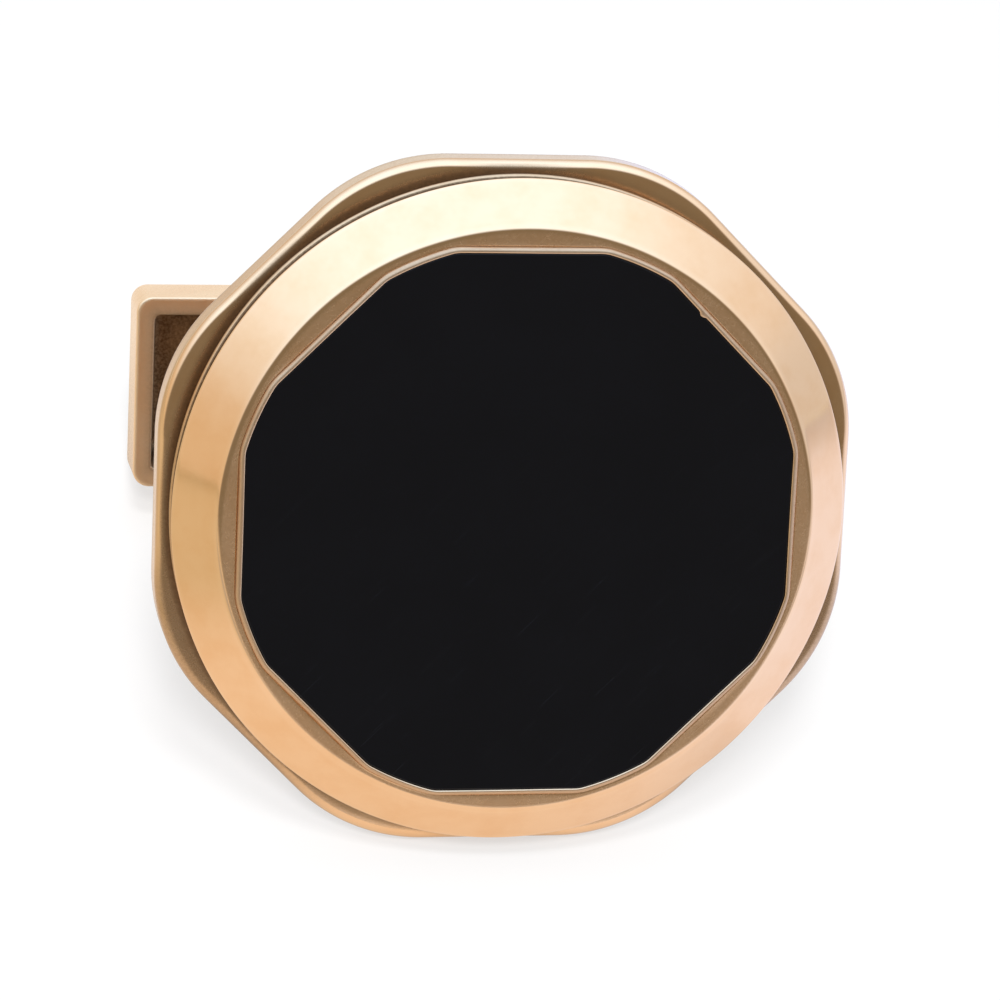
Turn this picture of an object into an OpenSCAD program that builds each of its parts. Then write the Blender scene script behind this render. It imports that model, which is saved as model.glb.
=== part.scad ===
// Swivel-back cufflink: an onyx tablet in an octagonal rose gold face, a fork post and a hollow
// toggle that turns on a pin and clicks over a spring. It lies as it rests on a table, face up and
// leaning back on its fork. Lengths are in millimetres.

/* [Face plate] */
// Width of the octagonal plate across its flats
plate_af = 18; // [16:0.5:22]
// How far the round corners stand out beyond the flats
plate_corner = 0.35; // [0.1:0.05:0.6]
// Thickness of the plate
plate_t = 0.95; // [0.7:0.05:1.6]
// Width of the bevel round the plate's front edge
plate_edge = 0.16; // [0.04:0.02:0.3]
// Width of the smaller bevel round the plate's back edge
back_edge = 0.08; // [0.04:0.02:0.2]

/* [Face ring] */
// Step from the plate's flats in to the ring
ring_step = 0.3; // [0.1:0.05:0.6]
// Height of the ring's wall, from the plate to the band
ring_wall_h = 0.75; // [0.5:0.05:1]
// Diameter of the half-round bead at the wall's foot
bead_d = 0.24; // [0.16:0.02:0.3]
// Thickness of the band's outer rim, which overhangs the channel above the bead
rim_t = 0.06; // [0.04:0.02:0.2]
// Width of the sloping band, from its rim in to the ledge
band_w = 1.08; // [0.7:0.02:1.5]
// Width of the flat ledge round the stone, measured at the flats
ledge_w = 0.46; // [0.2:0.02:0.8]
// How far the ledge lies below the top of the stone
ledge_drop = 0.1; // [0:0.02:0.3]

/* [Stone] */
// How far the stone's round corners stand out beyond its flats
stone_corner = 0.25; // [0.1:0.05:0.5]
// Thickness of the stone
stone_t = 1.7; // [1.4:0.1:2.4]
// Width of the polished bevel round the stone's top
stone_edge = 0.07; // [0.04:0.01:0.15]
// Thickness of the cement under the stone
cement_t = 0.18; // [0.1:0.02:0.3]
// Thickness of the bezel strip round the stone
bezel_t = 0.14; // [0.1:0.02:0.3]
// How far the bezel strip stands proud of the stone
bezel_proud = 0.04; // [0:0.01:0.1]

/* [Post] */
// Clear length from the plate's back to the toggle, where the cuff lies
grip_l = 11.3; // [9.8:0.1:14]
// Thickness of the round foot that is soldered to the plate
foot_t = 0.5; // [0.3:0.05:0.8]
// Rim of the foot that shows round the fork's base
foot_margin = 0.25; // [0.1:0.05:0.6]
// Thickness of the fork's strip
fork_t = 0.6; // [0.4:0.05:0.8]
// Width of the fork at its base
fork_base_w = 4.2; // [3:0.1:5]
// Radius of the rounded end of each fork arm
fork_tip_r = 1.05; // [0.9:0.05:1.4]
// Inside radius of the fork's two bends
fork_bend_r = 0.5; // [0.3:0.05:0.8]

/* [Toggle] */
// Length of the toggle
toggle_l = 16.5; // [14:0.5:18]
// Width of the toggle
toggle_w = 5.4; // [4.4:0.1:6.4]
// Depth of the toggle from its open rim to its back
toggle_depth = 2.6; // [2.4:0.1:3.4]
// Wall of the toggle's hollow shell
toggle_wall = 0.5; // [0.4:0.05:0.6]
// Corner radius of the toggle seen from the front
toggle_corner = 0.8; // [0.7:0.05:1.4]
// Radius of the toggle's rounded back edges
toggle_round = 1; // [0.8:0.1:1.3]
// Running gap between the toggle and each fork arm
side_gap = 0.08; // [0.05:0.01:0.15]

/* [Pivot and detent] */
// How far the pivot lies behind the toggle's open rim
pivot_drop = 1.05; // [0.95:0.05:1.1]
// Diameter of the pivot pin
pin_d = 0.9; // [0.8:0.05:0.95]
// Running gap round the pin in the toggle's walls
pin_run_gap = 0.04; // [0.02:0.01:0.08]
// Diameter of the pin's peened heads
head_d = 1.5; // [1.3:0.05:1.7]
// Height of the pin's peened heads
head_h = 0.25; // [0.15:0.05:0.3]
// Width of the square cam across its flats
cam_af = 1.2; // [1.15:0.05:1.3]
// How far the cam's round corners stand out beyond its flats
cam_corner = 0.15; // [0.05:0.01:0.18]
// Gap from each end of the cam to the toggle's wall
cam_end_gap = 0.1; // [0.05:0.05:0.3]
// Thickness of the leaf spring
spring_t = 0.15; // [0.1:0.01:0.18]
// Width of the leaf spring
spring_w = 2.6; // [1.5:0.1:2.8]
// Gap between the leaf spring and the cam's flat
spring_gap = 0.02; // [0.01:0.01:0.04]
// Length of the spring's flat tab
spring_tab = 2.2; // [1.8:0.1:2.6]
// Gap from the spring's tab to the toggle's end
spring_end_gap = 0.8; // [0.4:0.1:1.2]
// Diameter of the stud that holds the spring's tab
stud_d = 0.8; // [0.6:0.05:1]
// Diameter of the stud's peened head
stud_head_d = 1.3; // [1.1:0.05:1.6]
// Height of the stud's peened head
stud_head_h = 0.2; // [0.1:0.05:0.3]

/* [Hidden] */
$fn = 96;

// The octagon's sides, and half the angle between them
sides = 8;
half_angle = 180 / sides;
// Gap between pieces that are nested and fixed together
seat_gap = 0.01;
// Overrun that carries a cut clear of a surface
over = 1;
// Colours of the metal, the stone, the cement and the spring steel
rose_gold = "#DDA777";
onyx = "#131315";
cement = "#3A3733";
spring_steel = "#A9A8A4";

// Heights along the face's normal, from the plate's back
cement_top = plate_t + cement_t;
stone_top = cement_top + stone_t;
ledge_z = stone_top - ledge_drop;
bezel_top = stone_top + bezel_proud;
wall_top = plate_t + ring_wall_h;

// Radii of the ring, of the channel in its wall and of the ledge's outer circle
ring_r = plate_af / 2 - ring_step;
channel_r = ring_r - bead_d / 2;
ledge_r = ring_r - band_w;

// Octagons that nest from the ring's pocket in to the stone, across their flats
pocket_af = 2 * (ledge_r - ledge_w);
bezel_out_af = pocket_af - 2 * seat_gap;
bezel_in_af = bezel_out_af - 2 * bezel_t;
stone_af = bezel_in_af - 2 * seat_gap;

// The fork straddles the toggle
arm_in = toggle_w / 2 + side_gap;
arm_out = arm_in + fork_t;
fork_z = -foot_t;
foot_r = norm([fork_base_w / 2, arm_out]) + foot_margin;
pivot_z = -grip_l - pivot_drop;
pin_hole_d = pin_d + 2 * seat_gap;
pin_run_d = pin_d + 2 * pin_run_gap;

// Inside of the toggle
toggle_back = -grip_l - toggle_depth;
floor_z = toggle_back + toggle_wall;
inner_corner = max(toggle_corner - toggle_wall, seat_gap);
inner_round = max(toggle_round - toggle_wall, seat_gap);
cam_l = toggle_w - 2 * toggle_wall - 2 * cam_end_gap;

// The spring arches from the toggle's floor up to the cam
spring_reach = toggle_l / 2 - toggle_wall - inner_round - spring_end_gap;
arch_half = spring_reach - spring_tab;
spring_rise = pivot_z - cam_af / 2 - spring_gap - spring_t - floor_z;
arch_r = (arch_half ^ 2 + spring_rise ^ 2) / (2 * spring_rise);
stud_x = -arch_half - spring_tab / 2;

// The cufflink leans back until the fork's tips or the toggle's back edge meet the table
tip_back = fork_tip_r - pivot_z;
edge_y = toggle_w / 2 - toggle_round;
edge_z = -toggle_back - toggle_round;
edge_out = plate_af / 2 - edge_y;
lean_on_fork = atan2(plate_af / 2 - arm_out, tip_back + back_edge);
lean_on_toggle = acos(toggle_round / norm([edge_out, edge_z + back_edge]))
    - atan2(edge_z + back_edge, edge_out);
lean = min(lean_on_fork, lean_on_toggle);

// Depth on the table, towards the back, of a point of the leaning cufflink
function depth_of(y, z) = y * sin(lean) - z * cos(lean);
front_most = min(
    depth_of(-ring_r, wall_top),
    depth_of(-ledge_r, ledge_z),
    depth_of(-bezel_out_af / 2, bezel_top)
);
back_most = max(
    depth_of(arm_out, -tip_back),
    depth_of(edge_y, -edge_z) + toggle_round
);
lift = plate_af / 2 * cos(lean) - back_edge * sin(lean);

// Turns a piece from the face's own axes to the way that it rests, centred on the table
module at_rest() {
    translate([0, -(front_most + back_most) / 2, lift])
        rotate([90 - lean, 0, 0])
            children();
}

// Octagon across its flats, with its corners trimmed by a circle
module octagon(af, corner) {
    intersection() {
        rotate(half_angle)
            circle(d = af / cos(half_angle), $fn = sides);
        circle(r = af / 2 + corner);
    }
}

// Half outline of a disc with bevelled edges, from its axis out to a radius
module bevelled_half(r, t, low_edge, high_edge) {
    polygon([
        [0, 0],
        [r - low_edge, 0],
        [r, low_edge],
        [r, t - high_edge],
        [r - high_edge, t],
        [0, t]
    ]);
}

// Whole outline of a slab with bevelled edges, centred on its axis
module bevelled_slab(r, t, low_edge, high_edge) {
    polygon([
        [low_edge - r, 0],
        [r - low_edge, 0],
        [r, low_edge],
        [r, t - high_edge],
        [r - high_edge, t],
        [high_edge - r, t],
        [-r, t - high_edge],
        [-r, low_edge]
    ]);
}

// Octagonal disc with its corners trimmed by a circle and bevelled edges, standing on z = 0
module octagon_disc(af, corner, t, low_edge, high_edge) {
    intersection() {
        rotate_extrude()
            bevelled_half(af / 2 + corner, t, low_edge, high_edge);
        intersection_for(k = [0 : sides / 2 - 1])
            rotate([90, 0, k * 2 * half_angle])
                linear_extrude(2 * af, center = true)
                    bevelled_slab(af / 2, t, low_edge, high_edge);
    }
}

// Octagonal disc with filleted corners and bevelled edges, standing on z = 0
module filleted_octagon_disc(af, corner, t, low_edge, high_edge) {
    corner_out = af / 2 + corner;
    fillet_r = (af / 2 - corner_out * cos(half_angle)) / (1 - cos(half_angle));
    fillet_out = corner_out - fillet_r;
    for (k = [0 : sides - 1])
        rotate((2 * k + 1) * half_angle)
            translate([fillet_out, 0])
                rotate_extrude()
                    bevelled_half(fillet_r, t, low_edge, high_edge);
    for (k = [0 : sides / 2 - 1])
        rotate([90, 0, k * 2 * half_angle])
            linear_extrude(2 * fillet_out * sin(half_angle), center = true)
                bevelled_slab(af / 2, t, low_edge, high_edge);
}

// Rectangle with all four corners rounded, centred on the origin
module round_rect(l, w, r) {
    square([l, w - 2 * r], center = true);
    square([l - 2 * r, w], center = true);
    for (sx = [-1, 1], sy = [-1, 1])
        translate([sx * (l / 2 - r), sy * (w / 2 - r)])
            circle(r = r);
}

// Section of a tray: open above at height d, with its two bottom corners rounded
module tray_section(w, d, r) {
    translate([-w / 2, r])
        square([w, d - r]);
    translate([-w / 2 + r, 0])
        square([w - 2 * r, d]);
    for (s = [-1, 1])
        translate([s * (w / 2 - r), r])
            circle(r = r);
}

// Solid tray form with round corners and a rounded back, standing on its back at z = 0
module tray(l, w, d, corner, round) {
    intersection() {
        linear_extrude(d)
            round_rect(l, w, corner);
        rotate([90, 0, 0])
            linear_extrude(w, center = true)
                tray_section(l, d, round);
        rotate([90, 0, 90])
            linear_extrude(l, center = true)
                tray_section(w, d, round);
    }
}

// Peened rivet head, domed upwards from z = 0
module peened_head(d, h) {
    dome_r = (d ^ 2 / 4 + h ^ 2) / (2 * h);
    rotate_extrude()
        intersection() {
            translate([0, h - dome_r])
                circle(r = dome_r);
            square([d / 2, h]);
        }
}

// Round bar along the pivot's axis
module pivot_bar(d, l) {
    translate([0, 0, pivot_z])
        rotate([90, 0, 0])
            cylinder(d = d, h = l, center = true);
}

// Thin octagonal plate that carries the ring and the post
module face_plate() {
    color(rose_gold)
        at_rest()
            filleted_octagon_disc(plate_af, plate_corner, plate_t, back_edge, plate_edge);
}

// Half section of the ring in the solid: its wall, band and ledge, with the bead at the wall's foot
module ring_section() {
    polygon([
        [0, plate_t],
        [channel_r, plate_t],
        [channel_r, wall_top - rim_t],
        [ring_r, wall_top - rim_t],
        [ring_r, wall_top],
        [ledge_r, ledge_z],
        [0, ledge_z]
    ]);
    translate([channel_r, plate_t + bead_d / 2])
        circle(d = bead_d);
}

// Turned ring, pierced for the stone
module face_ring() {
    color(rose_gold)
        at_rest()
            difference() {
                rotate_extrude()
                    ring_section();
                linear_extrude(ledge_z + over)
                    octagon(pocket_af, stone_corner);
            }
}

// Polished black tablet
module onyx_stone() {
    color(onyx)
        at_rest()
            translate([0, 0, cement_top])
                octagon_disc(stone_af, stone_corner, stone_t, 0, stone_edge);
}

// Layer of setter's cement that the stone is bedded on
module stone_cement() {
    color(cement)
        at_rest()
            translate([0, 0, plate_t])
                linear_extrude(cement_t)
                    octagon(stone_af, stone_corner);
}

// Thin upright strip that frames the stone
module stone_bezel() {
    color(rose_gold)
        at_rest()
            translate([0, 0, plate_t])
                linear_extrude(bezel_top - plate_t)
                    difference() {
                        octagon(bezel_out_af, stone_corner);
                        octagon(bezel_in_af, stone_corner);
                    }
}

// Round foot that is soldered to the plate's back
module post_foot() {
    color(rose_gold)
        at_rest()
            translate([0, 0, -foot_t])
                rotate_extrude()
                    bevelled_half(foot_r, foot_t, back_edge, 0);
}

// Both fork arms in the solid, seen along the pivot: their sides run tangent to the round tip
module fork_taper() {
    base_half = fork_base_w / 2;
    arm_l = fork_z - pivot_z;
    reach = norm([base_half, arm_l]);
    turn = atan2(base_half, arm_l) + acos(fork_tip_r / reach);
    side = [fork_tip_r * sin(turn), pivot_z + fork_tip_r * cos(turn)];
    rotate([90, 0, 0])
        linear_extrude(2 * arm_out, center = true)
            polygon([
                [-base_half, fork_z],
                [base_half, fork_z],
                side,
                [-side.x, side.y]
            ]);
    pivot_bar(2 * fork_tip_r, 2 * arm_out);
}

// Trough of the bent strip's outside or inside, open towards the toggle
module fork_trough(w, back_z, bend_r) {
    mirror([0, 0, 1])
        translate([0, 0, -back_z])
            rotate([90, 0, 90])
                linear_extrude(fork_base_w + over, center = true)
                    tray_section(w, tip_back + back_z + over, bend_r);
}

// Fork bent from one strip, whose two arms hold the pivot pin
module post_fork() {
    color(rose_gold)
        at_rest()
            difference() {
                intersection() {
                    fork_trough(2 * arm_out, fork_z, fork_bend_r + fork_t);
                    fork_taper();
                }
                fork_trough(2 * arm_in, fork_z - fork_t, fork_bend_r);
                pivot_bar(pin_hole_d, 2 * arm_out + over);
            }
}

// Pin riveted through the fork's arms
module pivot_pin() {
    color(rose_gold)
        at_rest() {
            pivot_bar(pin_d, 2 * arm_out);
            for (s = [0, 1])
                mirror([0, s, 0])
                    translate([0, -arm_out, pivot_z])
                        rotate([90, 0, 0])
                            peened_head(head_d, head_h);
        }
}

// Square cam fixed on the pin, with a flat for each quarter turn
module detent_cam() {
    color(spring_steel)
        at_rest()
            difference() {
                intersection() {
                    pivot_bar(cam_af + 2 * cam_corner, cam_l);
                    translate([0, 0, pivot_z])
                        cube([cam_af, cam_l, cam_af], center = true);
                }
                pivot_bar(pin_hole_d, cam_l + over);
            }
}

// Hollow toggle, open towards the plate
module toggle_shell() {
    color(rose_gold)
        at_rest()
            difference() {
                translate([0, 0, toggle_back])
                    tray(toggle_l, toggle_w, toggle_depth, toggle_corner, toggle_round);
                translate([0, 0, floor_z])
                    tray(
                        toggle_l - 2 * toggle_wall,
                        toggle_w - 2 * toggle_wall,
                        toggle_depth,
                        inner_corner,
                        inner_round
                    );
                pivot_bar(pin_run_d, toggle_w + over);
            }
}

// Leaf spring on the toggle's floor, arched up to the cam
module detent_spring() {
    color(spring_steel)
        at_rest()
            difference() {
                rotate([90, 0, 0])
                    linear_extrude(spring_w, center = true)
                        translate([0, floor_z]) {
                            intersection() {
                                translate([0, spring_rise - arch_r])
                                    difference() {
                                        circle(r = arch_r + spring_t, $fn = 4 * $fn);
                                        circle(r = arch_r, $fn = 4 * $fn);
                                    }
                                translate([-arch_half, 0])
                                    square([2 * arch_half, spring_rise + spring_t]);
                            }
                            translate([-spring_reach, 0])
                                square([spring_tab, spring_t]);
                        }
                translate([stud_x, 0, floor_z - over])
                    cylinder(d = stud_d + 2 * seat_gap, h = 2 * over);
            }
}

// Stud brazed to the toggle's floor and peened over the spring's tab
module spring_stud() {
    color(rose_gold)
        at_rest()
            translate([stud_x, 0, floor_z]) {
                cylinder(d = stud_d, h = spring_t + seat_gap);
                translate([0, 0, spring_t + seat_gap])
                    peened_head(stud_head_d, stud_head_h);
            }
}

face_plate();
face_ring();
onyx_stone();
stone_cement();
stone_bezel();
post_foot();
post_fork();
pivot_pin();
detent_cam();
toggle_shell();
detent_spring();
spring_stud();
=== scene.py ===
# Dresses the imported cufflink: finer pieces round the CAD frame, their materials, a table and soft light.
# Shapes are written in millimetres in the face's own axes, as in the part's source: x along the toggle, y up
# the face, and z out of it towards the front, with z = 0 at the plate's back. to_row() turns them to the way
# that the cufflink rests.

import math

import bmesh
import bpy
import numpy as np
from mathutils import Matrix, Vector

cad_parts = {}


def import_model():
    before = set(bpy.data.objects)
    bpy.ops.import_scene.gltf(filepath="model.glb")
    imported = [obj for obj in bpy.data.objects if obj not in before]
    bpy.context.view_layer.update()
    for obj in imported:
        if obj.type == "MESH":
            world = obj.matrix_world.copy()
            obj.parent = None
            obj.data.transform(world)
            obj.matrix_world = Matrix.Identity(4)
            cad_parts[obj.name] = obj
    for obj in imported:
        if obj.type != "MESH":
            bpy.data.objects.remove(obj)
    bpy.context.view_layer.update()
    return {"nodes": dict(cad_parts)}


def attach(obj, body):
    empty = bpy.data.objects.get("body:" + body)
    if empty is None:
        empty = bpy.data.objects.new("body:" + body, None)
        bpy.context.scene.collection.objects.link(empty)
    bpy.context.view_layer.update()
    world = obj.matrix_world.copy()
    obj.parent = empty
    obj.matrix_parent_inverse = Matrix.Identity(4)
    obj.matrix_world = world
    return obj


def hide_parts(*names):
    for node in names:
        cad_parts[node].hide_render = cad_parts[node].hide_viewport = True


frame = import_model()
nodes = frame["nodes"]

MM = 0.001

# The face's sizes in the CAD model, in millimetres
PLATE_AF = 18.0
PLATE_CORNER = 0.35
PLATE_T = 0.95
BACK_EDGE = 0.08
RING_STEP = 0.3
RING_WALL_H = 0.75
BEAD_R = 0.12
RIM_T = 0.06
BAND_W = 1.08
LEDGE_W = 0.46
LEDGE_DROP = 0.1
STONE_CORNER = 0.25
STONE_T = 1.7
CEMENT_T = 0.18
BEZEL_T = 0.14
BEZEL_PROUD = 0.04
SEAT_GAP = 0.01

# The post's and the toggle's sizes in the CAD model, in millimetres
GRIP_L = 11.3
FOOT_T = 0.5
FORK_T = 0.6
FORK_BASE_HALF = 2.1
TIP_R = 1.05
BEND_R = 0.5
TOGGLE_L = 16.5
TOGGLE_W = 5.4
TOGGLE_DEPTH = 2.6
TOGGLE_WALL = 0.5
TOGGLE_ROUND = 1.0
SIDE_GAP = 0.08
PIVOT_DROP = 1.05
PIN_R = 0.45
PIN_RUN_GAP = 0.04
HEAD_R = 0.75
HEAD_H = 0.25
SPRING_T = 0.15
SPRING_TAB = 2.2
SPRING_END_GAP = 0.8
STUD_R = 0.4
STUD_HEAD_R = 0.65
STUD_HEAD_H = 0.2

# Sizes in which the scene differs a little from the CAD model, in millimetres
PLATE_ROUND = 0.26
CHANNEL_DEPTH = 0.08
FOOT_MARGIN = 0.254
TOGGLE_CORNER = 0.45

# Radii, heights and widths that follow from those sizes
RING_R = PLATE_AF / 2 - RING_STEP
WALL_TOP = PLATE_T + RING_WALL_H
STONE_LOW = PLATE_T + CEMENT_T
STONE_TOP = STONE_LOW + STONE_T
LEDGE_R = RING_R - BAND_W
LEDGE_Z = STONE_TOP - LEDGE_DROP
POCKET_AF = 2 * (LEDGE_R - LEDGE_W)
BEZEL_OUT_AF = POCKET_AF - 2 * SEAT_GAP
BEZEL_IN_AF = BEZEL_OUT_AF - 2 * BEZEL_T
BEZEL_TOP = STONE_TOP + BEZEL_PROUD
STONE_AF = BEZEL_IN_AF - 2 * SEAT_GAP
ARM_IN = TOGGLE_W / 2 + SIDE_GAP
ARM_OUT = ARM_IN + FORK_T
RIM_Z = -GRIP_L
PIVOT_Z = RIM_Z - PIVOT_DROP
TOGGLE_BACK = RIM_Z - TOGGLE_DEPTH
FLOOR_Z = TOGGLE_BACK + TOGGLE_WALL
STUD_X = TOGGLE_ROUND + SPRING_END_GAP + SPRING_TAB / 2 - TOGGLE_L / 2

# It rests on the lower edge of the plate's back and the fork's tips, with its box centred on the table
TIP_BACK = TIP_R - PIVOT_Z
LEAN = math.atan2(PLATE_AF / 2 - ARM_OUT, TIP_BACK + BACK_EDGE)
FRONT_MOST = -LEDGE_R * math.sin(LEAN) - LEDGE_Z * math.cos(LEAN)
BACK_MOST = ARM_OUT * math.sin(LEAN) + TIP_BACK * math.cos(LEAN)
FACE_Y = -(FRONT_MOST + BACK_MOST) / 2
FACE_Z = PLATE_AF / 2 * math.cos(LEAN) - BACK_EDGE * math.sin(LEAN)

# Steps round the face, and each step's angle from the middle of the nearest side of an octagon
HALF_SIDE = np.pi / 8
TURN = np.linspace(0, 2 * np.pi, 576, endpoint=False)
FROM_FLAT = np.abs((TURN + HALF_SIDE) % (2 * HALF_SIDE) - HALF_SIDE)

# Steps round the pin and the stud
PIN_TURN = np.linspace(0, 2 * np.pi, 96, endpoint=False)

# The corners of a rectangle, anticlockwise
CORNERS = ((1, 1), (-1, 1), (-1, -1), (1, -1))


# Mesh building


class Skin:
    """Rows of points that make one closed mesh, each row with its marks for the material."""

    MARKS = ("wear", "dirt_and_shade", "satin")

    def __init__(self):
        self.rows = []
        self.marks = []

    def add(self, row, wear=0.0, dirt_and_shade=0.0, satin=0.0):
        """Adds a row: how far it is worn bright, how much dirt and painted shade darken it, and how dull its
        polish is.
        """
        self.rows.append(row)
        self.marks.append((wear, dirt_and_shade, satin))


def to_row(points):
    """Points in the face's axes, in millimetres, to the row frame in metres."""
    x, y, z = np.moveaxis(np.asarray(points, float), -1, 0)
    s, c = math.sin(LEAN), math.cos(LEAN)
    return np.stack([x, FACE_Y + y * s - z * c, FACE_Z + y * c + z * s], axis=-1) * MM


def soft_min(a, b, k):
    """The lower of two values, with the corner between them rounded over a width k."""
    h = np.clip(k - np.abs(a - b), 0, None) / k
    return np.minimum(a, b) - h * h * k / 4


def octagon(af, corner, inset=0.0, blend=0.06):
    """Radius at each step of an octagon across its flats, trimmed by a circle and drawn in by an inset."""
    flat = (af / 2 - inset) / np.cos(FROM_FLAT)
    return soft_min(flat, np.full_like(flat, af / 2 + corner - inset), blend)


def filleted_octagon(af, corner, inset=0.0):
    """Radius at each step of an octagon across its flats, with filleted corners, drawn in by an inset."""
    fillet = (af / 2 - (af / 2 + corner) * math.cos(HALF_SIDE)) / (1 - math.cos(HALF_SIDE))
    out = af / 2 + corner - fillet
    from_corner = HALF_SIDE - FROM_FLAT
    reach = np.clip((fillet - inset) ** 2 - (out * np.sin(from_corner)) ** 2, 0, None)
    rounded = out * np.cos(from_corner) + np.sqrt(reach)
    flat = (af / 2 - inset) / np.cos(FROM_FLAT)
    fillet_start = math.atan2(out * math.sin(HALF_SIDE), af / 2 - inset)
    return np.where(FROM_FLAT < fillet_start, flat, rounded)


def ring_row(radius, z, x=0.0, turn=TURN):
    """One closed row of points round the face's normal, or round a line beside it at x."""
    r = np.broadcast_to(radius, turn.shape)
    return np.stack([x + r * np.cos(turn), r * np.sin(turn), np.broadcast_to(z, turn.shape)], axis=-1)


def pivot_row(radius, y, turn=PIN_TURN):
    """One closed row of points round the pivot's axis."""
    along = np.broadcast_to(y, turn.shape)
    return np.stack([radius * np.cos(turn), along, PIVOT_Z + radius * np.sin(turn)], axis=-1)


def arc(start, end, sharp, count):
    """Points from start to end, both included, on the round that takes the place of a sharp corner."""
    start, end, sharp = (np.array(v, float) for v in (start, end, sharp))
    centre = start + end - sharp
    angles = np.linspace(0, np.pi / 2, count)
    return [tuple(centre + (start - centre) * math.cos(a) + (end - centre) * math.sin(a)) for a in angles]


def dome(radius, height):
    """A peened head from its rim in to its middle, as radii and heights above its foot."""
    sphere = (radius**2 + height**2) / (2 * height)
    radii = [radius * share for share in (0.97, 0.88, 0.75, 0.6, 0.45, 0.3, 0.15, 0.02)]
    return [(r, height - sphere + math.sqrt(sphere**2 - r**2)) for r in radii]


def hand_made(amount, seed):
    """Small slow unevenness round the face, in millimetres, the same on every run."""
    rng = np.random.default_rng(seed)
    total = np.zeros(len(TURN))
    for waves in range(3, 15):
        total += rng.normal() * np.sin(waves * TURN + rng.uniform(0, 2 * np.pi)) / waves
    return amount * total / np.abs(total).max()


def closed_mesh(name, skin, capped):
    """A closed mesh of a skin's rows, capped at both ends or joined last row to first."""
    rows = np.array(skin.rows, float)
    count, around = rows.shape[:2]
    points = to_row(rows).reshape(-1, 3)
    marks = np.repeat(skin.marks, around, axis=0)
    step = np.arange(around)
    after = (step + 1) % around
    faces = []
    for r in range(count - 1 if capped else count):
        here = r * around
        there = (r + 1) % count * around
        faces += np.stack([here + step, here + after, there + after, there + step], axis=1).tolist()
    if capped:
        for r, first, second in ((0, after, step), (count - 1, step, after)):
            middle = np.full(around, len(points))
            faces += np.stack([r * around + first, r * around + second, middle], axis=1).tolist()
            points = np.vstack([points, to_row(rows[r].mean(0))])
            marks = np.vstack([marks, (0.0, *skin.marks[r][1:])])
    mesh = bpy.data.meshes.new(name)
    mesh.from_pydata(points.tolist(), [], faces)
    for label, values in zip(Skin.MARKS, marks.T):
        mesh.attributes.new(label, "FLOAT", "POINT").data.foreach_set("value", values.astype(np.float32))
    bm = bmesh.new()
    bm.from_mesh(mesh)
    bmesh.ops.recalc_face_normals(bm, faces=bm.faces)
    bm.to_mesh(mesh)
    bm.free()
    return mesh


def put(name, data):
    """A new object in the scene."""
    thing = bpy.data.objects.new(name, data)
    bpy.context.scene.collection.objects.link(thing)
    return thing


def build(name, node, skin, material, body="face_and_post", capped=True):
    """Makes a skin a shaded piece that rides on a body, in place of a CAD node."""
    mesh = closed_mesh(name, skin, capped)
    mesh.shade_smooth()
    mesh.materials.append(material)
    piece = put(name, mesh)
    normals = piece.modifiers.new("normals", "WEIGHTED_NORMAL")
    normals.mode = "FACE_AREA"
    normals.weight = 90
    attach(piece, body)
    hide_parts(node)
    return piece


# Materials


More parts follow.
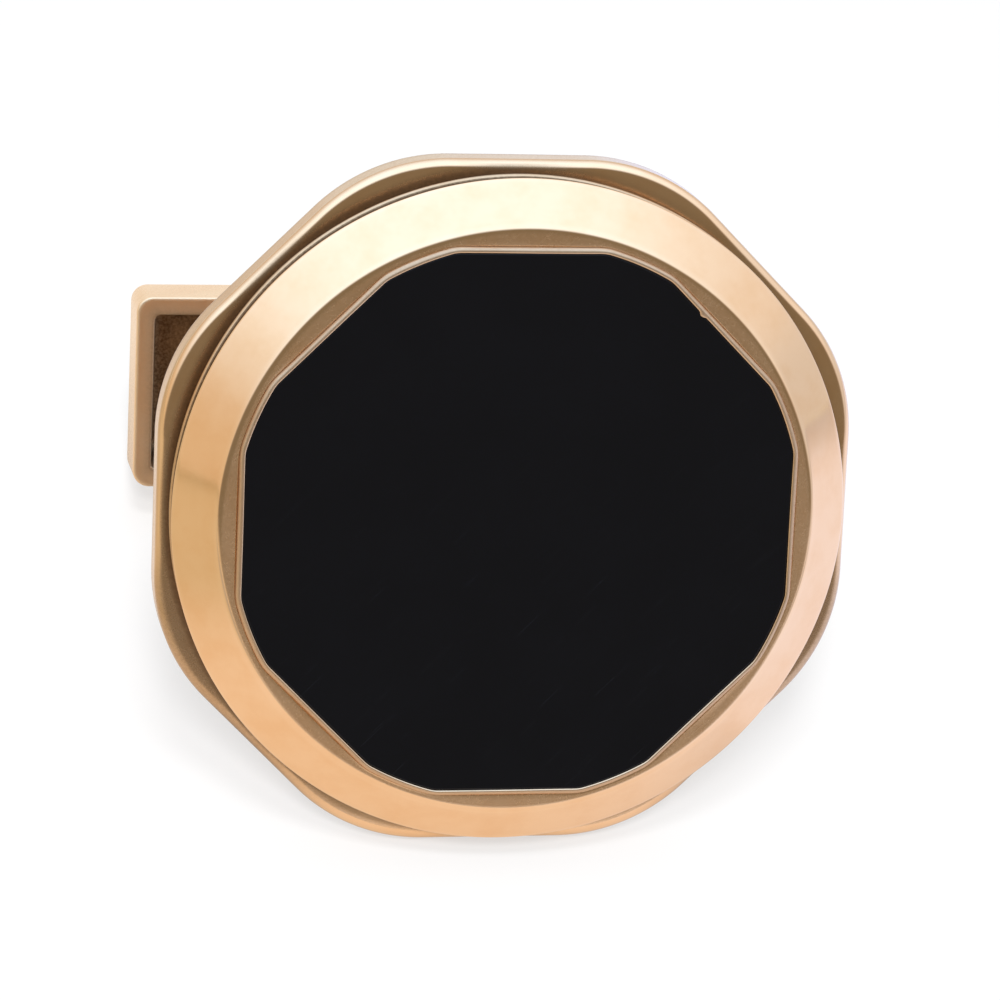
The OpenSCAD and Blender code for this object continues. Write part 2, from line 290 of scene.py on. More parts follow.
class Nodes:
    """Short names for making and linking the shader nodes of a material or a world."""

    def __init__(self, owner, output="OutputMaterial"):
        owner.use_nodes = True
        self.owner = owner
        self.tree = owner.node_tree
        self.tree.nodes.clear()
        self.out = self.add(output)

    def add(self, kind, inputs=None, **settings):
        """A new node, with each input linked to a socket or set to a value."""
        node = self.tree.nodes.new("ShaderNode" + kind)
        for key, value in settings.items():
            setattr(node, key, value)
        for key, value in (inputs or {}).items():
            if isinstance(value, bpy.types.NodeSocket):
                self.tree.links.new(value, node.inputs[key])
            else:
                node.inputs[key].default_value = value
        return node

    def finish(self, shader):
        """Links a shader to the output, and returns the material or the world."""
        self.tree.links.new(shader.outputs[0], self.out.inputs["Surface"])
        return self.owner

    def surface(self, inputs):
        """Finishes a material with one shader for its surface."""
        return self.finish(self.add("BsdfPrincipled", inputs))

    def object_place(self):
        """Position in the object's own coordinates, in metres."""
        return self.add("TexCoord").outputs["Object"]

    def face_axes(self):
        """Position in the face's own axes, in millimetres."""
        inputs = {
            "Vector": self.object_place(),
            "Location": (0, FACE_Y * MM, FACE_Z * MM),
            "Rotation": (math.pi / 2 - LEAN, 0, 0),
            "Scale": (MM, MM, MM),
        }
        return self.add("Mapping", inputs, vector_type="TEXTURE").outputs["Vector"]

    def stretched(self, vector, size, angle=0.0):
        """Coordinates turned about the face's normal and then divided by a size on each axis."""
        inputs = {"Vector": vector, "Scale": size, "Rotation": (0, 0, angle)}
        return self.add("Mapping", inputs, vector_type="TEXTURE").outputs["Vector"]

    def split(self, vector):
        """The three parts of a vector."""
        return self.add("SeparateXYZ", {"Vector": vector}).outputs

    def attribute(self, name):
        """One of the marks of the mesh's points."""
        return self.add("Attribute", attribute_name=name).outputs["Fac"]

    def noise(self, vector, scale=1.0, detail=2.0, rough=0.5):
        """Smooth noise between 0 and 1."""
        inputs = {"Vector": vector, "Scale": scale, "Detail": detail, "Roughness": rough}
        return self.add("TexNoise", inputs).outputs["Fac"]

    def scratches(self, vector, length, width, angle, fade, rough=0.5):
        """Sparse scratches at one angle: 1 on a scratch, 0 beside it. fade is the noise where they start."""
        run = self.stretched(vector, (length, width, width), angle)
        return self.remap(self.noise(run, rough=rough), *fade)

    def remap(self, value, low, high, to_low=0.0, to_high=1.0):
        """Takes low to to_low and high to to_high, with soft ends."""
        inputs = {"Value": value, "From Min": low, "From Max": high, "To Min": to_low, "To Max": to_high}
        return self.add("MapRange", inputs, interpolation_type="SMOOTHSTEP").outputs["Result"]

    def math(self, kind, a, b=0.0):
        """One sum on two values."""
        return self.add("Math", {0: a, 1: b}, operation=kind).outputs[0]

    def times(self, first, *others):
        """The product of values."""
        for other in others:
            first = self.math("MULTIPLY", first, other)
        return first

    def distance(self, x, y):
        """Distance from the middle, from two coordinates."""
        return self.math("SQRT", self.math("ADD", self.times(x, x), self.times(y, y)))

    def mix(self, factor, a, b, blend="MIX"):
        """From colour a, where the factor is 0, to colour b, where it is 1."""
        inputs = {0: factor, 6: a, 7: b}
        return self.add("Mix", inputs, data_type="RGBA", blend_type=blend).outputs[2]

    def bump(self, height, rise, normal=None):
        """Normals bent by a height, which rises by millimetres from 0 to 1, on top of other normals."""
        inputs = {"Height": height, "Distance": rise * MM, "Strength": 1.0}
        if normal is not None:
            inputs["Normal"] = normal
        return self.add("Bump", inputs).outputs["Normal"]


def rgb(r, g, b):
    """A colour in linear light."""
    return (r, g, b, 1.0)


# Gold as the light and the deep colour of its blotches, gold that is rubbed bright, and the dark colour of
# dirt and painted shade on it
CLEAN_GOLD = (rgb(0.86, 0.53, 0.30), rgb(0.83, 0.485, 0.255))
# The bezel's gold is a darker copy of the clean gold, which paints shade on the bezel
SHADED_BEZEL_GOLD = (rgb(0.70, 0.45, 0.27), rgb(0.66, 0.41, 0.24))
WORN_GOLD = (rgb(0.90, 0.63, 0.39), rgb(0.87, 0.58, 0.34))
BRIGHT_GOLD = rgb(0.93, 0.66, 0.44)
DIRT_AND_SHADE = rgb(0.10, 0.052, 0.022)


def hairline_place(m, place, turned):
    """Coordinates for hairlines, which run round the face on turned pieces and along the others."""
    if not turned:
        return m.stretched(place, size=(0.9, 0.035, 0.035), angle=0.1)
    x, y, z = m.split(place)
    lines_per_mm = 34.0
    out = m.times(m.distance(x, y), lines_per_mm)
    up = m.times(z, lines_per_mm)
    return m.add("CombineXYZ", {"X": out, "Y": up, "Z": m.math("ARCTAN2", y, x)}).outputs[0]


def plate_dirt_and_shade(m, place, dirt_and_shade):
    """The plate's dirt and painted shade: its marks, painted shade in the corner at the ring's foot that is
    weaker on the upper right, and darkening low on its left and right.
    """
    x, y, z = m.split(place)
    # Painted shade in the corner at the ring's foot, weaker towards the upper right
    ring_foot_shade = m.remap(m.distance(x, y), RING_R + 0.32, RING_R + 0.04, 0.0, 0.75)
    on_top = m.remap(z, PLATE_T - 0.1, PLATE_T - 0.05)
    upper_right = m.math("ADD", x, m.times(y, 0.5))
    upper_right_lighter = m.remap(upper_right, 3.5, 8.0, 1.0, 0.2)
    dirt_and_shade = m.math("MAXIMUM", dirt_and_shade, m.times(ring_foot_shade, on_top, upper_right_lighter))
    beside = m.remap(m.math("ABSOLUTE", x), 3.5, 6.5, 0.0, 0.5)
    low = m.remap(y, 0.0, -3.0)
    at_front = m.remap(z, 0.3, 0.7)
    return m.math("MAXIMUM", dirt_and_shade, m.times(beside, low, at_front))


def rose_gold(name, colours, polish, dulling, lines, turned=False, on_plate=False, edge_dull=0.0):
    """Rose gold with hairlines and rubs.

    polish is its lowest roughness, dulling what dull spots add to it and edge_dull what worn edges add. The
    hairlines are lines millimetres deep, and run round the face where turned is set.
    """
    m = Nodes(bpy.data.materials.new(name))
    place = m.face_axes()
    hair = m.noise(hairline_place(m, place, turned), detail=3.0, rough=0.7)
    swell = m.noise(place, scale=0.5, detail=1.0)
    blotch = m.noise(place, scale=0.8, detail=4.0, rough=0.6)
    fine = m.noise(place, scale=12.0, detail=3.0, rough=0.65)
    sway = m.add("TexNoise", {"Vector": place, "Scale": 0.7}).outputs["Color"]
    bent = m.mix(0.06, place, sway, "ADD")
    rubbed = m.math(
        "MAXIMUM",
        m.scratches(bent, length=2.2, width=0.05, angle=0.7, fade=(0.64, 0.76), rough=0.6),
        m.scratches(bent, length=1.6, width=0.04, angle=-0.9, fade=(0.66, 0.78), rough=0.6),
    )
    wear = m.attribute("wear")
    dirt_and_shade = m.attribute("dirt_and_shade")
    if on_plate:
        dirt_and_shade = plate_dirt_and_shade(m, place, dirt_and_shade)
    # Dirt and painted shade darken the colour and dull the polish where the mesh marks them
    darkening = m.times(dirt_and_shade, m.remap(fine, 0.2, 0.7, 0.8, 1.0))
    base = m.mix(m.remap(blotch, 0.35, 0.75), *colours)
    base = m.mix(m.times(wear, 0.25), base, BRIGHT_GOLD)
    base = m.mix(darkening, base, DIRT_AND_SHADE)
    rough = m.remap(fine, 0.3, 0.75, polish, polish + dulling)
    for mark, added in ((rubbed, 0.05), (darkening, 0.35), (m.attribute("satin"), 0.25), (wear, edge_dull)):
        rough = m.math("ADD", rough, m.times(mark, added))
    normal = m.bump(swell, 0.010)
    normal = m.bump(hair, lines, normal)
    normal = m.bump(rubbed, -0.00015, normal)
    return m.surface({"Base Color": base, "Metallic": 1.0, "Roughness": rough, "Normal": normal})


def onyx_material():
    """Polished black onyx with a faint cloud, specks and a few rubs."""
    m = Nodes(bpy.data.materials.new("onyx"))
    place = m.face_axes()
    cloud = m.noise(place, scale=0.35, detail=5.0, rough=0.6)
    speck = m.remap(m.noise(place, scale=26.0, detail=1.0), 0.80, 0.86)
    rub = m.scratches(place, length=2.5, width=0.04, angle=0.8, fade=(0.66, 0.76))
    base = m.mix(m.remap(cloud, 0.35, 0.7), rgb(0.0003, 0.0003, 0.0016), rgb(0.0006, 0.0006, 0.0020))
    base = m.mix(speck, base, rgb(0.006, 0.006, 0.006))
    rough = m.remap(cloud, 0.3, 0.7, 0.035, 0.075)
    rough = m.math("ADD", rough, m.times(rub, 0.06))
    normal = m.bump(m.noise(place, scale=0.3, detail=1.0), 0.004)
    normal = m.bump(rub, -0.0004, normal)
    return m.surface({"Base Color": base, "Roughness": rough, "IOR": 1.42, "Normal": normal})


def cement_material():
    """Dark grainy cement."""
    m = Nodes(bpy.data.materials.new("cement"))
    grain = m.noise(m.face_axes(), scale=9.0, detail=4.0, rough=0.7)
    base = m.mix(grain, rgb(0.025, 0.022, 0.018), rgb(0.06, 0.055, 0.045))
    rough = m.remap(grain, 0.2, 0.8, 0.7, 0.95)
    return m.surface({"Base Color": base, "Roughness": rough, "Normal": m.bump(grain, 0.02)})


def steel_material():
    """Plain spring steel, brushed along the toggle and stained in spots."""
    m = Nodes(bpy.data.materials.new("spring_steel"))
    place = m.face_axes()
    brushed = m.noise(m.stretched(place, size=(1.0, 0.025, 0.025)), detail=3.0, rough=0.7)
    stain = m.noise(place, scale=1.4, detail=4.0)
    base = m.mix(m.remap(stain, 0.45, 0.8), rgb(0.50, 0.49, 0.46), rgb(0.33, 0.29, 0.25))
    rough = m.remap(brushed, 0.2, 0.8, 0.18, 0.36)
    normal = m.bump(brushed, 0.0012)
    return m.surface({"Base Color": base, "Metallic": 1.0, "Roughness": rough, "Normal": normal})


ring_gold = rose_gold("rose_gold_polished", CLEAN_GOLD, polish=0.08, dulling=0.05, lines=0.0005, turned=True)
plate_gold = rose_gold("rose_gold_plate", CLEAN_GOLD, polish=0.09, dulling=0.06, lines=0.0004, on_plate=True)
worn_gold = rose_gold("rose_gold_worn", WORN_GOLD, polish=0.22, dulling=0.08, lines=0.0009, edge_dull=0.5)
shaded_bezel_gold = rose_gold("rose_gold_bezel_shaded", SHADED_BEZEL_GOLD, polish=0.08, dulling=0.05, lines=0.0003, turned=True)
onyx = onyx_material()
cement = cement_material()
steel = steel_material()

# The three pieces that keep their CAD shapes
for node, material in (("stone_cement", cement), ("detent_cam", steel), ("detent_spring", steel)):
    cad_slot = nodes[node].material_slots[0]
    cad_slot.link = "OBJECT"
    cad_slot.material = material


# Face


def face_plate():
    """The octagonal plate, slightly uneven, with a soft front edge that is worn bright."""
    skin = Skin()
    uneven = hand_made(amount=0.012, seed=3)
    draw_in = 0.013
    brow = PLATE_T - 0.004
    middle = 3.0

    def row(inset, z, wear=0.0, dirt_and_shade=0.0):
        outline = filleted_octagon(PLATE_AF, PLATE_CORNER, inset + draw_in)
        skin.add(ring_row(outline + uneven, z), wear, dirt_and_shade)

    # Back, from the middle out
    row(middle, 0)
    row(0.6, 0)
    for inset, z in arc((BACK_EDGE, 0), (0, BACK_EDGE), (0, 0), 5):
        row(inset, z, 0.2, 0.5)

    # Side, and the soft edge above it
    row(0, BACK_EDGE + 0.06, 0, 0.4)
    row(0, 0.3, 0.1, 0.3)
    row(0, 0.6, 0.1, 0.3)
    for inset, z in arc((0, brow - PLATE_ROUND), (PLATE_ROUND, brow), (0, brow), 13):
        row(inset, z, 1 - inset / PLATE_ROUND, max(0.0, 0.3 - 4 * inset))

    # Front, back to the middle
    for inset in (PLATE_ROUND + 0.12, PLATE_ROUND + 0.5, middle):
        row(inset, PLATE_T)
    build("face_plate_round", "face_plate", skin, plate_gold)


def bead_painted_shade(angle):
    """Painted shade on the ring's bead at an angle up from its outermost line: dark where the bead meets the
    plate and the channel, and lighter across its middle, where it dims the highlight.
    """
    if angle < 15 or angle > 60:
        return 0.9
    return 0.6 if angle < 30 else 0.35


def face_ring():
    """The turned ring: half-round bead, channel, sloping band with soft edges, ledge and octagonal pocket."""
    skin = Skin()
    swell = hand_made(amount=0.008, seed=11)
    sway = hand_made(amount=0.006, seed=12)
    draw_in = 0.008
    even_h = 0.7

    def row(radius, z, wear=0.0, dirt_and_shade=0.0, satin=0.0):
        uneven = min(1.0, (z - PLATE_T) / even_h)
        skin.add(ring_row(radius - draw_in + swell * uneven, z + sway * uneven), wear, dirt_and_shade, satin)

    # Bead, darkened along it with painted shade
    bead_r = RING_R - BEAD_R
    bead_z = PLATE_T + BEAD_R
    channel_r = RING_R - CHANNEL_DEPTH
    bead_end = math.degrees(math.acos((channel_r - bead_r) / BEAD_R))
    for angle in np.linspace(-82, bead_end, 17):
        a = math.radians(angle)
        row(bead_r + BEAD_R * math.cos(a), bead_z + BEAD_R * math.sin(a), 0.3, bead_painted_shade(angle))

    # Channel, and the rim that overhangs it, both darkened with painted shade
    rim_low = WALL_TOP - RIM_T
    row(channel_r, bead_z + BEAD_R + 0.02, 0, 0.95)
    row(channel_r, rim_low - 0.03, 0, 0.95)
    row(channel_r + 0.02, rim_low, 0, 0.85)
    row(RING_R - 0.03, rim_low, 0.1, 0.5)
    row(RING_R, WALL_TOP - 0.03, 0.4, 0.1)

    # Band, between its two soft edges
    low_round = 0.035
    high_round = 0.09
    ledge_out = LEDGE_R - high_round
    rim = np.array([RING_R, WALL_TOP])
    brink = np.array([LEDGE_R, LEDGE_Z])
    slope = (brink - rim) / np.linalg.norm(brink - rim)
    band_low = rim + slope * low_round
    band_high = brink - slope * high_round
    for r, z in arc((RING_R, WALL_TOP - 0.025), band_low, rim, 6)[1:]:
        row(r, z, 0.6)
    for share in (0.08, 0.3, 0.5, 0.7, 0.92):
        row(*(band_low + (band_high - band_low) * share))
    for (r, z), satin in zip(arc(band_high, (ledge_out, LEDGE_Z), brink, 7), (0, 0, 0, 0, 0, 0.3, 0.5)):
        row(r, z, 0.6, 0, satin)

    # Ledge, and down into the pocket
    pocket = octagon(POCKET_AF, STONE_CORNER)
    wide = ledge_out - draw_in + swell - pocket
    depth = LEDGE_Z - PLATE_T
    for share in (0.85, 0.5, 0.12):
        skin.add(ring_row(pocket + wide * share, LEDGE_Z + sway), satin=0.6)
    for share, drop, dirt_and_shade in ((0.01, 0.001, 0.1), (0, 0.01, 0.5), (0, depth - 0.01, 1), (0, depth, 1)):
        skin.add(ring_row(pocket + wide * share, LEDGE_Z - drop), 0, dirt_and_shade, 0.6)
    build("face_ring_turned", "face_ring", skin, ring_gold, capped=False)


def stone_bezel():
    """The strip round the stone, with a burnished lip and one small burr where the burnisher slipped."""
    skin = Skin()
    uneven = hand_made(amount=0.012, seed=21)
    thick = BEZEL_T + 0.008
    crest = 0.25 * thick
    overlap = 0.012
    foot_z = PLATE_T + SEAT_GAP
    burr_height = 0.07
    burr_angle = math.radians(51)
    burr_width = 0.011
    burr = burr_height * np.exp(-(((TURN - burr_angle) / burr_width) ** 2))

    def row(out, z, wear=0.0, dirt_and_shade=0.0):
        outline = octagon(BEZEL_IN_AF + 2 * out, STONE_CORNER, blend=0.06 if out > crest else 0.03)
        if z > STONE_TOP - 0.02:
            outline = outline + uneven * 0.5 - burr * (out < crest)
            z = z + 0.3 * (uneven - 0.012)
        skin.add(ring_row(outline, z), wear, dirt_and_shade, 0.5 if out < crest else 1.2)

    row(thick, foot_z, 0, 1)
    row(thick, LEDGE_Z - 0.03, 0, 0.2)
    for angle in np.linspace(0, 180, 17):
        a = math.radians(angle)
        if angle < 90:
            reach, rise, dirt_and_shade = thick - crest, BEZEL_TOP - LEDGE_Z, 0.2
        else:
            reach, rise, dirt_and_shade = crest + overlap, BEZEL_PROUD + 0.03, 0.0
        row(crest + reach * math.cos(a), BEZEL_TOP - rise + rise * math.sin(a), 0.4, dirt_and_shade)
    row(0, STONE_TOP - 0.12, 0, 1)
    row(0, foot_z, 0, 1)
    build("stone_bezel_burnished", "stone_bezel", skin, shaded_bezel_gold, capped=False)


def onyx_stone():
    """The flat stone, with a narrow polished edge round its top."""
    skin = Skin()
    sides = [(0.4, STONE_LOW), (0.02, STONE_LOW), (0, STONE_LOW + 0.02), (0, STONE_TOP - 0.3)]
    edge = [(0, STONE_TOP - 0.03), (0.01, STONE_TOP - 0.01)]
    top = [(inset, STONE_TOP) for inset in (0.03, 0.035, 0.12, 1.0, 4.0)]
    for inset, z in sides + edge + top:
        skin.add(ring_row(octagon(STONE_AF, STONE_CORNER, inset, blend=0.02), z))
    build("onyx_tablet", "onyx_stone", skin, onyx)


face_plate()
face_ring()
stone_bezel()
onyx_stone()


# Post


def post_foot():
    """The round foot, with a soft lower edge and a fillet of solder at the plate."""
    skin = Skin()
    foot_r = math.hypot(FORK_BASE_HALF, ARM_OUT) + FOOT_MARGIN
    soft = 0.14
    solder = 0.12
    uneven = hand_made(amount=0.03, seed=31)

    def row(radius, z, wear=0.0, dirt_and_shade=0.0):
        skin.add(ring_row(radius, z), wear, dirt_and_shade)

    row(foot_r - 1.4, -FOOT_T)
    row(foot_r - 0.3, -FOOT_T)
    for r, z in arc((foot_r - soft, -FOOT_T), (foot_r, soft - FOOT_T), (foot_r, -FOOT_T), 7):
        row(r, z, 1)
    row(foot_r, -0.14, 0.1, 0.3)
    *fillet, seam = arc((foot_r, -solder), (foot_r + solder, 0), (foot_r, 0), 6)[1:]
    for r, z in fillet:
        row(r + uneven, z, 0.1, 0.7)
    row(*seam, 0.1, 0.7)
    row(foot_r - 0.6, 0)
    build("post_foot_soldered", "post_foot", skin, worn_gold)


def rounded_bar(half_w, half_t, radius):
    """Cross-section of a strip as points (across, through), with rounded edges."""
    points = []
    for k, (side_x, side_y) in enumerate(CORNERS):
        for a in np.radians(90 * k + np.linspace(0, 90, 7)):
            across = side_x * (half_w - radius) + radius * math.cos(a)
            points.append((across, side_y * (half_t - radius) + radius * math.sin(a)))
    return points


def post_fork():
    """The bent strip, swept from one tip over the base to the other."""
    skin = Skin()
    mid_y = (ARM_IN + ARM_OUT) / 2
    mid_r = BEND_R + FORK_T / 2
    bend_z = -FOOT_T - FORK_T / 2 - mid_r
    narrowest = 0.03
    thinner_below = 0.45

    # Each step's place along the strip's middle, and how far the strip has turned there
    path = []
    for ease in 1 - np.cos(np.linspace(0, np.pi / 2, 22)):
        path.append((-mid_y, PIVOT_Z - TIP_R + 0.004 + ease * TIP_R, 0.0))
    for share in np.linspace(0, 1, 14)[1:]:
        path.append((-mid_y, PIVOT_Z + (bend_z - PIVOT_Z) * share, 0.0))
    for turn in np.linspace(0, 90, 11)[1:]:
        a = math.radians(turn)
        path.append((-mid_y + mid_r - mid_r * math.cos(a), bend_z + mid_r * math.sin(a), turn))
    path += [(-y, z, 180 - turn) for y, z, turn in reversed(path)]

    # Where the arm's straight side leaves its round tip
    arm_l = -FOOT_T - PIVOT_Z
    swing = math.atan2(FORK_BASE_HALF, arm_l) + math.acos(TIP_R / math.hypot(FORK_BASE_HALF, arm_l))
    side_w = TIP_R * math.sin(swing)
    side_z = PIVOT_Z + TIP_R * math.cos(swing)

    for y, z, turn in path:
        if z < side_z:
            half_w = math.sqrt(max(TIP_R**2 - (z - PIVOT_Z) ** 2, narrowest**2))
        else:
            half_w = side_w + (FORK_BASE_HALF - side_w) * (z - side_z) / (-FOOT_T - side_z)
        half_t = FORK_T / 2 * (0.35 + 0.65 * min(1.0, half_w / thinner_below))
        section = rounded_bar(half_w, half_t, min(0.14, half_w * 0.45, half_t * 0.9))
        a = math.radians(turn)
        row = [(x, y - through * math.cos(a), z + through * math.sin(a)) for x, through in section]
        near_foot = z > -FOOT_T - 0.6
        skin.add(row, 0.25, 0.25 if near_foot else 0.0)
    build("post_fork_bent", "post_fork", skin, worn_gold)


def pivot_pin():
    """Round pin with a domed, lightly hammered head at each end, turned about the pivot's axis."""
    skin = Skin()
    phase = np.random.default_rng(5).uniform(0, 2 * np.pi, 3)
    half = [(r, ARM_OUT + rise) for r, rise in reversed(dome(HEAD_R, HEAD_H))]
    half += [(HEAD_R, ARM_OUT + 0.02), (HEAD_R - 0.01, ARM_OUT), (PIN_R, ARM_OUT), (PIN_R, ARM_OUT - 0.05)]
    for r, y in half + [(r, -y) for r, y in reversed(half)]:
        coarse = np.sin(3 * PIN_TURN + phase[0]) * np.sin(6 * r + phase[1])
        dent = 0.010 * coarse + 0.006 * np.sin(5 * PIN_TURN + phase[2])
        on_head = abs(y) > ARM_OUT + 0.03
        hammered = min(1.0, r / 0.3) if on_head else 0.0
        out = r + hammered * dent * 0.6
        along = y - np.sign(y) * hammered * np.abs(dent) * 1.2
        skin.add(pivot_row(out, along), 0.6 if on_head else 0.0, 0.0 if on_head else 0.7)
    build("pivot_pin_riveted", "pivot_pin", skin, worn_gold)


post_foot()
post_fork()
pivot_pin()


# Toggle


def round_box(length, width, radius, z):
    """Closed row of a rectangle with round corners, at one height."""
    points = []
    centres = [np.array([sx * (length / 2 - radius), sy * (width / 2 - radius)]) for sx, sy in CORNERS]
    for k, between in enumerate((60, 20, 60, 20)):
        for a in np.radians(np.linspace(90 * k, 90 * k + 90, 12)):
            edge = centres[k] + radius * np.array([math.cos(a), math.sin(a)])
            points.append((*edge, z))
        way = centres[(k + 1) % 4] - centres[k]
        for share in np.linspace(0, 1, between + 2)[1:-1]:
            points.append((*(edge + way * share), z))
    return points


def pierce(piece, radius, half_length):
    """Cuts a round hole along the pivot's axis through a piece."""
    steps = 64
    turn = np.linspace(0, 2 * np.pi, steps, endpoint=False)
    bore = np.vstack([pivot_row(radius, y, turn) for y in (-half_length, half_length)])
    sides = [[k, (k + 1) % steps, steps + (k + 1) % steps, steps + k] for k in range(steps)]
    ends = [list(range(steps))[::-1], list(range(steps, 2 * steps))]
    mesh = bpy.data.meshes.new("bore")
    mesh.from_pydata(to_row(bore).tolist(), [], sides + ends)
    tool = put("bore", mesh)
    shown = list(piece.modifiers)
    cut = piece.modifiers.new("bore", "BOOLEAN")
    cut.object = tool
    cut.solver = "EXACT"
    piece.modifiers.move(len(piece.modifiers) - 1, 0)
    for modifier in shown:
        modifier.show_viewport = False
    pierced = bpy.data.meshes.new_from_object(piece.evaluated_get(bpy.context.evaluated_depsgraph_get()))
    for modifier in shown:
        modifier.show_viewport = True
    piece.modifiers.remove(cut)
    piece.data = pierced
    bpy.data.objects.remove(tool)


def toggle_shell():
    """The pressed toggle: a hollow tray with softened rim, pierced for the pin."""
    skin = Skin()
    rim = 0.06
    inner_round = TOGGLE_ROUND - TOGGLE_WALL

    def row(inset, z, wear=0.0, dirt_and_shade=0.0, satin=0.0):
        corner = max(TOGGLE_CORNER - 0.55 * inset, 0.12)
        skin.add(round_box(TOGGLE_L - 2 * inset, TOGGLE_W - 2 * inset, corner, z), wear, dirt_and_shade, satin)

    # Outside, from the middle of the back up to the rim
    row(2.2, TOGGLE_BACK)
    row(1.3, TOGGLE_BACK)
    for a in np.radians(np.linspace(0, 90, 11)):
        inset = TOGGLE_ROUND * (1 - math.sin(a))
        row(inset, TOGGLE_BACK + TOGGLE_ROUND * (1 - math.cos(a)), 0.45 * math.sin(2 * a))
    row(0, RIM_Z - 0.8)
    row(0, RIM_Z - 0.2)

    # Rim, darker towards the inside
    for inset, z in arc((0, RIM_Z - rim), (rim, RIM_Z), (0, RIM_Z), 6):
        row(inset, z, 0.5)
    for share, dirt_and_shade in ((0.2, 0.05), (0.5, 0.15), (0.8, 0.35)):
        row(TOGGLE_WALL * share, RIM_Z, 0, dirt_and_shade, 0.55)
    for inset, z in arc((TOGGLE_WALL - rim, RIM_Z), (TOGGLE_WALL, RIM_Z - rim), (TOGGLE_WALL, RIM_Z), 6):
        row(inset, z, 0.2, 0.5)

    # Inside, down to the middle of the floor, darkened with painted shade
    row(TOGGLE_WALL, RIM_Z - 0.25, 0, 0.4)
    row(TOGGLE_WALL, RIM_Z - 0.9, 0, 0.7)
    for a in np.radians(np.linspace(90, 0, 7)):
        inset = TOGGLE_WALL + inner_round * (1 - math.sin(a))
        row(inset, FLOOR_Z + inner_round * (1 - math.cos(a)), 0, 0.95)
    row(1.6, FLOOR_Z, 0, 0.8)
    row(2.2, FLOOR_Z, 0, 0.7)
    shell = build("toggle_shell_pressed", "toggle_shell", skin, worn_gold, "toggle")
    pierce(shell, PIN_R + PIN_RUN_GAP, TOGGLE_W)


def spring_stud():
    """Stud on the toggle's floor, its domed head peened over the spring's tab."""
    skin = Skin()
    seat = FLOOR_Z + SPRING_T + SEAT_GAP

    def row(radius, z, wear=0.0, dirt_and_shade=0.0):
        skin.add(ring_row(radius, z, STUD_X, PIN_TURN), wear, dirt_and_shade)

    row(STUD_R * 0.5, FLOOR_Z, 0, 1)
    row(STUD_R, FLOOR_Z, 0, 1)
    row(STUD_R, seat, 0, 0.8)
    row(STUD_HEAD_R - 0.01, seat, 0, 0.6)
    row(STUD_HEAD_R, seat + 0.01, 0.5, 0.2)
    for r, rise in dome(STUD_HEAD_R, STUD_HEAD_H):
        row(r, seat + rise, 0.5)
    build("spring_stud_peened", "spring_stud", skin, worn_gold, "toggle")


toggle_shell()
spring_stud()


# Table, background and light


def reflected_table(m):
    """What the metal sees of the table: bluer on the right, darker at both sides and towards the viewer."""
    x, y, _ = m.split(m.object_place())
    aside = m.math("ABSOLUTE", x)
    ahead = m.times(y, -1.0)
    tint = m.mix(m.remap(x, -0.002, 0.020), rgb(0.60, 0.55, 0.47), rgb(0.66, 0.82, 1.24))
    # Farther right, farther left and behind: where each colour starts and is full, in metres
    for place, start, full, colour in (
        (x, 0.060, 0.140, rgb(0.47, 0.55, 0.75)),
        (x, -0.010, -0.028, rgb(0.36, 0.32, 0.15)),
        (y, 0.055, 0.080, rgb(0.69, 0.82, 0.84)),
    ):
        tint = m.mix(m.remap(place, start, full), tint, colour)
    near = m.times(m.remap(ahead, 0.022, 0.060), m.remap(aside, 0.11, 0.05), m.remap(ahead, 0.16, 0.09))
    tint = m.mix(near, tint, rgb(0.05, 0.05, 0.04))
    # The cufflink's own shadow, under it
    under = m.times(m.remap(aside, 0.0105, 0.0075), m.remap(y, -0.0095, -0.0060))
    under = m.times(under, m.remap(y, 0.016, 0.010, 0.0, 0.7))
    return m.mix(under, tint, rgb(0.04, 0.035, 0.03))


def table_material():
    """White paper that shows a faint shadow, and that the metal sees in colours of its own."""
    m = Nodes(bpy.data.materials.new("table_top"))
    rays = m.add("LightPath").outputs
    seen = m.math("MAXIMUM", rays["Is Camera Ray"], rays["Is Glossy Ray"])
    seen = m.math("MAXIMUM", seen, rays["Is Transmission Ray"])
    mottle = m.noise(m.object_place(), scale=40.0)
    white = m.mix(mottle, rgb(0.80, 0.80, 0.80), rgb(0.82, 0.82, 0.82))
    plain = m.add("BsdfDiffuse", {"Color": white})
    faint = m.add("BsdfDiffuse", {"Color": rgb(0.36, 0.36, 0.36)})
    shine = m.mix(rays["Is Glossy Ray"], rgb(0.61, 0.61, 0.61), reflected_table(m))
    glow = m.add("Emission", {"Color": shine, "Strength": 1.0})
    lit = m.add("AddShader", {0: faint.outputs[0], 1: glow.outputs[0]})
    return m.finish(m.add("MixShader", {0: seen, 1: plain.outputs[0], 2: lit.outputs[0]}))


def floor():
    """A round table top."""
    bm = bmesh.new()
    bmesh.ops.create_circle(bm, cap_ends=True, segments=96, radius=1.2)
    mesh = bpy.data.meshes.new("table_top")
    bm.to_mesh(mesh)
    bm.free()
    mesh.materials.append(table_material())
    put("table_top", mesh)


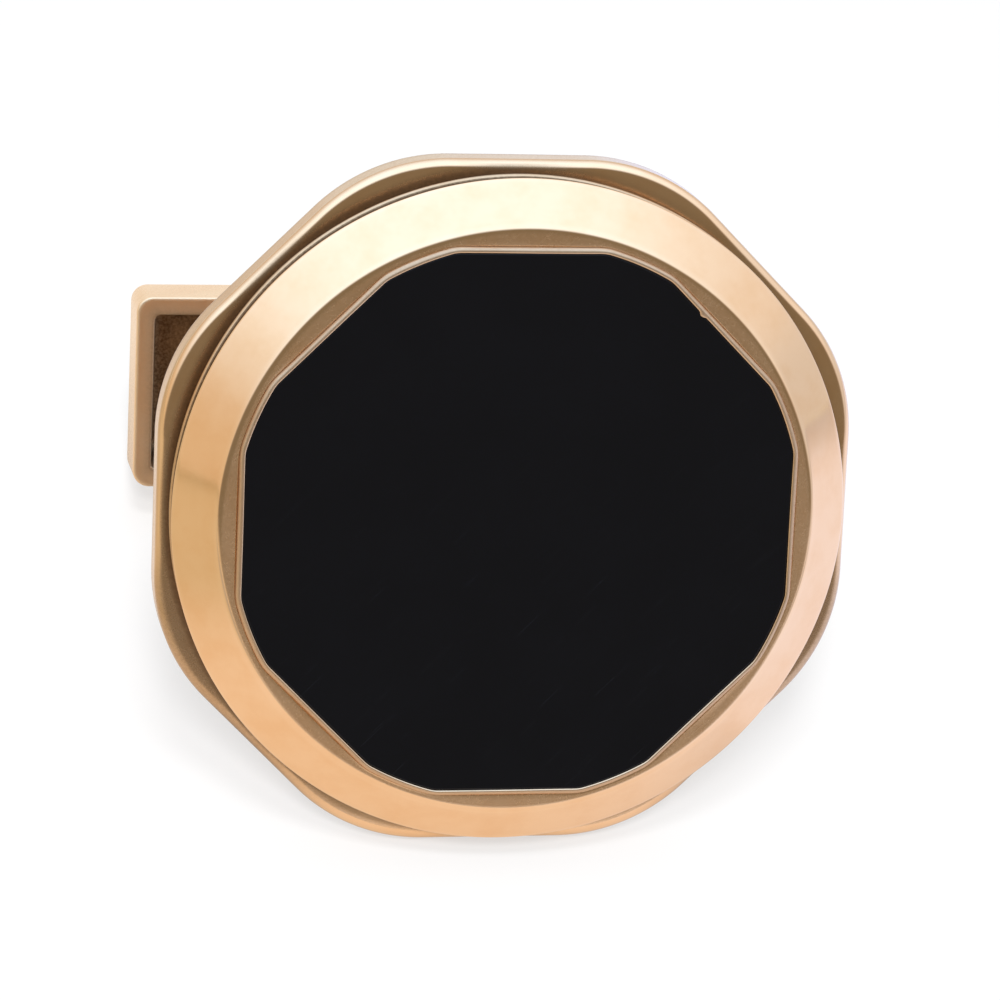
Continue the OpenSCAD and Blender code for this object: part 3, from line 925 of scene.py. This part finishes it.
def world():
    """White behind the view, even light on dull surfaces, and a studio that the metal sees."""
    studio = bpy.data.worlds.new("studio")
    bpy.context.scene.world = studio
    m = Nodes(studio, "OutputWorld")
    x, y, z = m.split(m.add("TexCoord").outputs["Generated"])
    # White, yellower on the left, with a window on the right, a softbox overhead and a dark room in front
    seen = m.mix(m.remap(x, -0.35, -0.95), rgb(0.98, 0.97, 0.95), rgb(0.86, 0.80, 0.66))
    window = m.mix(m.remap(z, 0.12, 0.42), rgb(0.84, 0.97, 1.17), rgb(1.04, 1.20, 1.45))
    seen = m.mix(m.remap(x, 0.45, 0.98), seen, window)
    height = m.math("SUBTRACT", z, m.times(m.math("MAXIMUM", x, 0.0), 0.25))
    seen = m.mix(m.remap(height, 0.10, 0.95), seen, rgb(1.35, 1.90, 2.70))
    front = m.times(m.remap(m.times(y, -1.0), 0.34, 0.70), m.remap(z, -0.05, 0.07))
    seen = m.mix(front, seen, rgb(0.26, 0.25, 0.205))
    rays = m.add("LightPath").outputs
    colour = m.mix(rays["Is Camera Ray"], seen, rgb(1, 1, 1))
    colour = m.mix(rays["Is Diffuse Ray"], colour, rgb(0.50, 0.50, 0.505))
    m.finish(m.add("Background", {"Color": colour, "Strength": 1.0}))


def softbox(name, place, width, power):
    """A round soft lamp that looks at the cufflink, with its width in metres and its power in watts."""
    lamp = bpy.data.lights.new(name, "AREA")
    lamp.shape = "DISK"
    lamp.size = width
    lamp.energy = power
    box = put(name, lamp)
    box.location = Vector(place)
    box.rotation_mode = "QUATERNION"
    box.rotation_quaternion = (-box.location).to_track_quat("-Z", "Y")
    box.visible_glossy = False
    box.visible_camera = False


def camera():
    """The photograph's camera, solved from its outlines, turned to the one cufflink and drawn in on it."""
    place = Vector((-0.022463, -0.100671, 0.082469))
    look = Vector((0.181503, 0.779376, -0.599692))
    right = Vector((0.983388, -0.145133, 0.109014))
    turn = Matrix((right, right.cross(look), -look)).transposed()
    lens = bpy.data.cameras.new("camera")
    lens.sensor_width = 36.0
    lens.lens = 172.8
    lens.clip_start = 0.005
    lens.clip_end = 10.0
    holder = put("camera", lens)
    holder.matrix_world = Matrix.Translation(place) @ turn.to_4x4()
    bpy.context.scene.camera = holder


floor()
world()
softbox("softbox_front", place=(-0.056, -0.250, 0.284), width=0.07, power=0.72)
softbox("softbox_above", place=(-0.035, -0.160, 0.350), width=0.08, power=0.48)
camera()
bpy.context.scene.view_settings.view_transform = "Standard"
